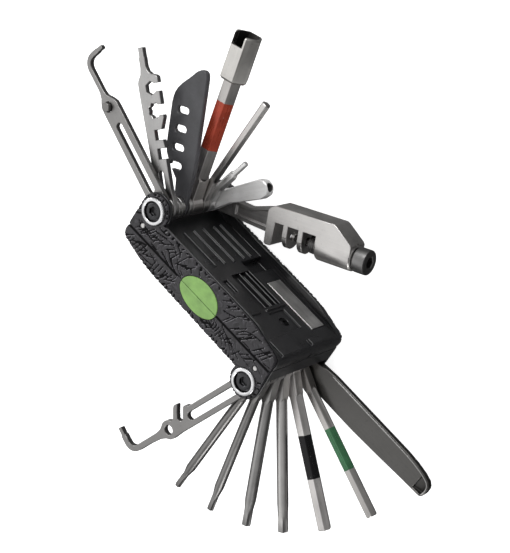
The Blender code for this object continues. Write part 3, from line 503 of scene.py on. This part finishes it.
def on_cover(x, y):
    """Whether a point in millimetres is on half A's cover and clear of its emblem and pivot ring."""
    px, py = PIVOT_A[0] / MM, PIVOT_A[1] / MM
    from_pivot = math.hypot(x - px, y - py)
    if from_pivot < RING_RADIUS:
        return False
    ex = (x - EMBLEM_X) / (EMBLEM_HALF[0] + 0.5)
    ey = y / (EMBLEM_HALF[1] + 0.5)
    if ex * ex + ey * ey < 1.0:
        return False
    return from_pivot < LOBE_RADIUS or (abs(x) < HALF_LENGTH - 0.7 and 0.3 < y < EDGE_Y)


def seams():
    """The line between the halves, broken by the emblem."""
    clear = EMBLEM_HALF[0] + 0.6
    return [([(-HALF_LENGTH, 0.1), (EMBLEM_X - clear, 0.1)], *SEAM),
            ([(EMBLEM_X + clear, 0.1), (HALF_LENGTH, 0.1)], *SEAM)]


def fibre(rng, phase):
    """A curved line that follows the flow, or None where it would leave the cover at once."""
    x, y = rng.uniform(-50, 49), rng.uniform(0.8, 14)
    if not on_cover(x, y):
        return None
    points = [(x, y)]
    for _ in range(rng.randint(6, 16)):
        turn = flow(x, y, phase)
        x += FIBRE_STEP * math.cos(turn)
        y += FIBRE_STEP * math.sin(turn)
        if not on_cover(x, y):
            break
        points.append((x, y))
    return (points, rng.uniform(*FIBRE[0]), rng.uniform(*FIBRE[1])) if len(points) > 3 else None


def hatching(rng):
    """Groups of straight lines, leaning one way or the other, along the whole cover."""
    strokes = []
    x = -47.0
    while x < 46.0:
        lean = math.radians(rng.choice((1.0, -1.0)) * rng.uniform(32, 76))
        y = rng.uniform(0.9, 7.0)
        reach = rng.uniform(4.0, 8.5)
        gap = rng.uniform(1.6, 2.5)
        for i in range(rng.randint(3, 5)):
            foot = (x + gap * i, y + rng.uniform(-1.2, 1.2))
            length = reach * rng.uniform(0.6, 1.1)
            tip = (foot[0] + length * math.cos(lean), foot[1] + abs(length * math.sin(lean)))
            lean += rng.uniform(-0.10, 0.10)
            if on_cover(*foot) and on_cover(*tip):
                strokes.append(([foot, tip], rng.uniform(*HATCH[0]), rng.uniform(*HATCH[1])))
        x += gap * 3 + rng.uniform(-3.0, 2.0)
    return strokes


def edge_nicks(rng, roughness):
    """Notches in the straight edge."""
    strokes = []
    x = -31.0
    while x < 48.5:
        lean = rng.uniform(-1.8, 1.8)
        reach = roughness * rng.uniform(0.3, 2.2)
        line = [(x, EDGE_Y + 1.2), (x + lean, EDGE_Y - reach)]
        strokes.append((line, rng.uniform(*NICK[0]), rng.uniform(*NICK[1])))
        x += rng.uniform(1.0, 4.2)
    return strokes


def lobe_nicks(rng):
    """Notches round the lobe that holds the pivot."""

    def spot(radius, degrees):
        a = math.radians(degrees)
        return PIVOT_A[0] / MM + radius * math.cos(a), PIVOT_A[1] / MM + radius * math.sin(a)

    strokes = []
    degrees = 20.0
    while degrees < 230.0:
        line = [spot(9.5, degrees), spot(7.4, degrees + rng.uniform(-7, 7))]
        strokes.append((line, rng.uniform(0.35, 0.60), 0.60))
        degrees += rng.uniform(10, 22)
    return strokes


def make_strokes(seed, roughness):
    """Every carved line of a cover, as (points, half width, depth) in half A's millimetres."""
    rng = random.Random(seed)
    phase = rng.uniform(0, math.tau)
    fibres = []
    while len(fibres) < FIBRE_COUNT:
        made = fibre(rng, phase)
        if made:
            fibres.append(made)
    return seams() + fibres + hatching(rng) + edge_nicks(rng, roughness) + lobe_nicks(rng)


def groove_depths(points, strokes):
    """How deep the carving is at each of an array of points."""
    depth = np.zeros(len(points))
    for line, half_width, deep in strokes:
        for start, end in zip(line, line[1:]):
            a, b = np.array(start), np.array(end)
            low = np.minimum(a, b) - half_width
            high = np.maximum(a, b) + half_width
            near = np.nonzero(np.all((points > low) & (points < high), axis=1))[0]
            if not len(near):
                continue
            along = b - a
            share = np.clip((points[near] - a) @ along / (along @ along), 0, 1)
            gap = np.linalg.norm(points[near] - a - share[:, None] * along, axis=1)
            here = deep * np.clip((half_width - gap) / (GROOVE_SIDE * half_width), 0, 1)
            depth[near] = np.maximum(depth[near], here)
    return depth


def carve_cover(place, side, seed):
    """Rebuilds a cover with its outer face cut into small cells and carved with grooves, with painted shade
    in the grooves and painted light on slopes that face the left lamp.
    """
    node = f"{place}_cover_{side}"
    outward = 1 if place == "front" else -1
    half = 1 if side == "a" else -1
    bm = bmesh.new()
    bm.from_mesh(NODES[node].data)
    bmesh.ops.remove_doubles(bm, verts=bm.verts, dist=WELD_GAP)
    bmesh.ops.dissolve_limit(bm, angle_limit=FLAT_ANGLE, verts=bm.verts, edges=bm.edges)
    edge_height = max(outward * v.co.z for v in bm.verts) - STEP_DEPTH * MM

    def outer_faces():
        return [f for f in bm.faces
                if outward * f.normal.z > 0.9 and all(outward * v.co.z > edge_height for v in f.verts)]

    def crosses(face, axis, at):
        places = [v.co[axis] for v in face.verts]
        return min(places) < at < max(places)

    for axis, reach in ((0, HALF_LENGTH), (1, HALF_WIDTH)):
        normal = Vector((1 - axis, axis, 0))
        for i in range(int(2 * reach / CELL) + 1):
            at = (-reach + i * CELL) * MM
            faces = [f for f in outer_faces() if crosses(f, axis, at)]
            if faces:
                edges = list({e for f in faces for e in f.edges})
                corners = list({v for f in faces for v in f.verts})
                bmesh.ops.bisect_plane(bm, geom=faces + edges + corners, plane_co=normal * at,
                                       plane_no=normal, dist=1e-6)
    outer = outer_faces()
    verts = list({v for f in outer for v in f.verts})
    points = np.array([(half * v.co.x / MM, half * v.co.y / MM) for v in verts])
    strokes = make_strokes(seed, EDGE_NICKS[f"{place}_{side}"])
    depths = dict(zip(verts, groove_depths(points, strokes)))
    for vert, depth in depths.items():
        vert.co.z -= outward * depth * MM
    bm.normal_update()
    lit_slope_side = Vector((LIT_SLOPE_SIDE[0], LIT_SLOPE_SIDE[1], LIT_SLOPE_SIDE[2] * outward))
    # Painted shade on groove faces, painted light on slopes tilted towards the left lamp.
    for face in outer:
        mean = sum(depths[v] for v in face.verts) / len(face.verts)
        if mean > GROOVE_DEPTH:
            face.material_index = 1
        elif mean > LIT_SLOPE_DEPTH and face.normal.dot(lit_slope_side) > 0.55:
            face.material_index = 2
    piece = add_piece(f"carved_{node}", bm, cover_plastic, "half_" + side, node, 50)
    piece.data.materials.append(groove_shade_plastic)
    piece.data.materials.append(lit_slope_plastic)


covers = [(place, side) for place in ("front", "rear") for side in ("a", "b")]
for seed, (place, side) in enumerate(covers, start=41):
    carve_cover(place, side, seed)


# ---------------------------------------------------------------- chain driver

# The driver's axis, and places along it from pivot A, in millimetres
DRIVER_LINE_Y = -4.6
DRIVER_HEIGHT = 11.2
THREAD_PITCH = 1.0
THREAD_START = 59.3
THREAD_END = 84.6
THREAD_ROOT = 3.98
THREAD_HEIGHT = 0.62
KNOB_RADIUS = 6.0
KNOB_END = 91.3
SOCKET_FLOOR = 86.6
SOCKET_APOTHEM = 2.5


def make_driver_screw():
    """The chain driver with its thread, its chamfered knob and a hexagonal socket."""
    sides = 36
    turn = math.radians(DIRECTIONS["driver_screw"][1])
    pivot = Vector((*PIVOT_A, 0))

    def place(x, angle, radius):
        y = DRIVER_LINE_Y + radius * math.cos(angle)
        spot = Vector((x, y, 0)) * MM
        spot.rotate(Matrix.Rotation(turn, 3, "Z"))
        return pivot + spot + Vector((0, 0, (DRIVER_HEIGHT + radius * math.sin(angle)) * MM))

    def hexagon(angle):
        return SOCKET_APOTHEM / math.cos((angle + math.radians(30)) % math.radians(60) - math.radians(30))

    rings = [(THREAD_START, lambda a: 3.4)]
    x = THREAD_START + 0.5
    while x < THREAD_END - 0.3:
        def thread(a, x=x):
            wave = abs(((x / THREAD_PITCH - a / math.tau) % 1.0) * 2 - 1)
            return THREAD_ROOT + THREAD_HEIGHT * min(1.0, max(0.0, wave * 1.5 - 0.2))
        rings.append((x, thread))
        x += THREAD_PITCH / 5
    rings += [(THREAD_END, lambda a: 4.0), (THREAD_END, lambda a: KNOB_RADIUS - 0.6)]
    rings += [(THREAD_END + 0.7, lambda a: KNOB_RADIUS), (KNOB_END - 0.8, lambda a: KNOB_RADIUS)]
    rings += [(KNOB_END - 0.4, lambda a: KNOB_RADIUS - 0.1), (KNOB_END, lambda a: KNOB_RADIUS - 0.7)]
    rings += [(KNOB_END, lambda a: hexagon(a) + 0.35), (KNOB_END - 0.3, hexagon), (SOCKET_FLOOR, hexagon)]
    bm = bmesh.new()
    angles = [math.tau * i / sides for i in range(sides)]
    layers = [[bm.verts.new(place(x, a, radius(a))) for a in angles] for x, radius in rings]
    for lower, upper in zip(layers, layers[1:]):
        for i in range(sides):
            j = (i + 1) % sides
            bm.faces.new((lower[i], lower[j], upper[j], upper[i]))
    bm.faces.new(layers[0])
    bm.faces.new(layers[-1])
    bmesh.ops.recalc_face_normals(bm, faces=bm.faces)
    add_piece("threaded_driver", bm, driver_steel, "driver", "driver_screw", 38)


driver_steel = steel("driver_steel", PIVOT_A, 26.0, (0.21, 0.207, 0.205), 0.34)
make_driver_screw()


# ---------------------------------------------------------------- lever bead

# The bead's line on the lever, in millimetres from pivot B
BEAD_RADIUS = 0.42
BEAD_LINE = (
    (17.0, 5.35), (40.0, 5.35), (66.6, 5.35), (73.8, 4.85), (79.2, 4.05),
    (82.8, 2.95), (84.2, 1.6), (84.75, 0.3), (84.85, -2.0), (84.5, -3.4),
)


def make_lever_bead():
    """Rolled bead along the lever's high edge and round its tip, half sunk in the sloping face, in a steel
    painted lighter than the lever's as a highlight.
    """
    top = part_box("tyre_lever")[1][2]
    pivot, degrees = DIRECTIONS["tyre_lever"]
    turn = Matrix.Rotation(math.radians(degrees), 3, "Z")
    data = bpy.data.curves.new("lever_bead", "CURVE")
    data.dimensions = "3D"
    data.bevel_depth = BEAD_RADIUS * MM
    data.bevel_resolution = 3
    data.use_fill_caps = True
    spline = data.splines.new("NURBS")
    spline.points.add(len(BEAD_LINE) - 1)
    spline.use_endpoint_u = True
    spline.order_u = 3
    for point, (x, y) in zip(spline.points, BEAD_LINE):
        drop = max(0.0, (y + 8.0) / 16.0 * 1.9 - 0.2)  # the face slopes by 1.9 mm across its 16 mm
        spot = turn @ Vector((x, y, 0)) * MM + Vector((*pivot, top - drop * MM))
        point.co = (*spot, 1)
    # Painted highlight: the bead's steel is about three times lighter than the lever's.
    data.materials.append(steel("bead_highlight_steel", pivot, degrees, (0.34, 0.335, 0.33), 0.28))
    bead = bpy.data.objects.new("lever_bead", data)
    bpy.context.scene.collection.objects.link(bead)
    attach(bead, "lever")


make_lever_bead()


# ---------------------------------------------------------------- studio

LIGHT_AIM = Vector((0, 0, 0.03))
FLOOR_HALF = 3.0
FLOOR_HEIGHT = -0.0002  # just under the tool, so that no faces coincide


def area_light(name, place, size, power):
    """A white rectangular light that faces the middle of the tool."""
    data = bpy.data.lights.new(name, "AREA")
    data.shape = "RECTANGLE"
    data.size, data.size_y = size
    data.energy = power
    lamp = bpy.data.objects.new(name, data)
    lamp.location = place
    lamp.rotation_euler = (LIGHT_AIM - Vector(place)).to_track_quat("-Z", "Y").to_euler()
    bpy.context.scene.collection.objects.link(lamp)


def make_world():
    """A soft surround: brightest overhead, and brighter on the -X side than on the +X side."""
    world = bpy.data.worlds.new("studio")
    world.use_nodes = True
    nodes, links = world.node_tree.nodes, world.node_tree.links

    def remap(value, low, high, to_low, to_high):
        made = nodes.new("ShaderNodeMapRange")
        links.new(value, made.inputs["Value"])
        for key, number in (("From Min", low), ("From Max", high), ("To Min", to_low), ("To Max", to_high)):
            made.inputs[key].default_value = number
        return made.outputs["Result"]

    parts = nodes.new("ShaderNodeSeparateXYZ")
    links.new(nodes.new("ShaderNodeTexCoord").outputs["Generated"], parts.inputs["Vector"])
    total = nodes.new("ShaderNodeMath")
    links.new(remap(parts.outputs["Z"], -0.5, 1.0, 0.0, 0.45), total.inputs[0])
    links.new(remap(parts.outputs["X"], -1.0, 1.0, 0.50, 0.05), total.inputs[1])
    shaded = nodes.new("ShaderNodeMath")
    shaded.operation = "MULTIPLY"
    links.new(total.outputs[0], shaded.inputs[0])
    links.new(remap(parts.outputs["Z"], -0.35, 0.25, 0.40, 1.0), shaded.inputs[1])
    links.new(shaded.outputs[0], nodes["Background"].inputs["Strength"])
    nodes["Background"].inputs["Color"].default_value = (1, 1, 1, 1)
    bpy.context.scene.world = world


def make_floor():
    """A pale sheet that shows white, and isn't mirrored in the steel."""
    bm = bmesh.new()
    bmesh.ops.create_grid(bm, x_segments=2, y_segments=2, size=FLOOR_HALF)
    mesh = bpy.data.meshes.new("floor")
    bm.to_mesh(mesh)
    bm.free()
    floor = bpy.data.objects.new("floor", mesh)
    floor.location.z = FLOOR_HEIGHT
    bpy.context.scene.collection.objects.link(floor)
    t = Tree("floor_paper")
    at = t.node("ShaderNodeTexCoord").outputs["Object"]
    tone = t.mix(t.noise(at, 900.0, 3.0), (0.90, 0.90, 0.90), (0.93, 0.93, 0.93))
    t.set(Base_Color=tone, Roughness=0.9, Emission_Color=(1, 1, 1, 1), Emission_Strength=0.80)
    mesh.materials.append(t.material)
    floor.visible_glossy = False
    floor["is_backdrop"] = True


def make_camera():
    """A long lens above the right-hand side, looking down at the splayed tool."""
    data = bpy.data.cameras.new("camera")
    data.lens = 97.65
    data.sensor_width = 36.0
    data.clip_start = 0.01
    data.clip_end = 20.0
    camera = bpy.data.objects.new("camera", data)
    right = Vector((0.65380, 0.48361, -0.58195))
    up = Vector((-0.67691, 0.71752, -0.16420))
    back = Vector((0.33815, 0.50128, 0.79647))
    turn = Matrix((right, up, back)).transposed().to_4x4()
    camera.matrix_world = Matrix.Translation((0.2410, 0.3597, 0.5812)) @ turn
    bpy.context.scene.collection.objects.link(camera)
    bpy.context.scene.camera = camera


bpy.context.scene.view_settings.view_transform = "Standard"
make_world()
make_floor()
make_camera()
area_light("key", (-0.35, -0.50, 0.85), (0.9, 0.9), 1.3)
area_light("rim", (-0.34, 0.77, 0.50), (0.5, 0.25), 2.6)
area_light("left", (-0.90, -0.10, 0.42), (0.4, 0.3), 2.2)
area_light("edge", (0.75, -0.55, 0.34), (0.4, 0.3), 2.2)

low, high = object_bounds()
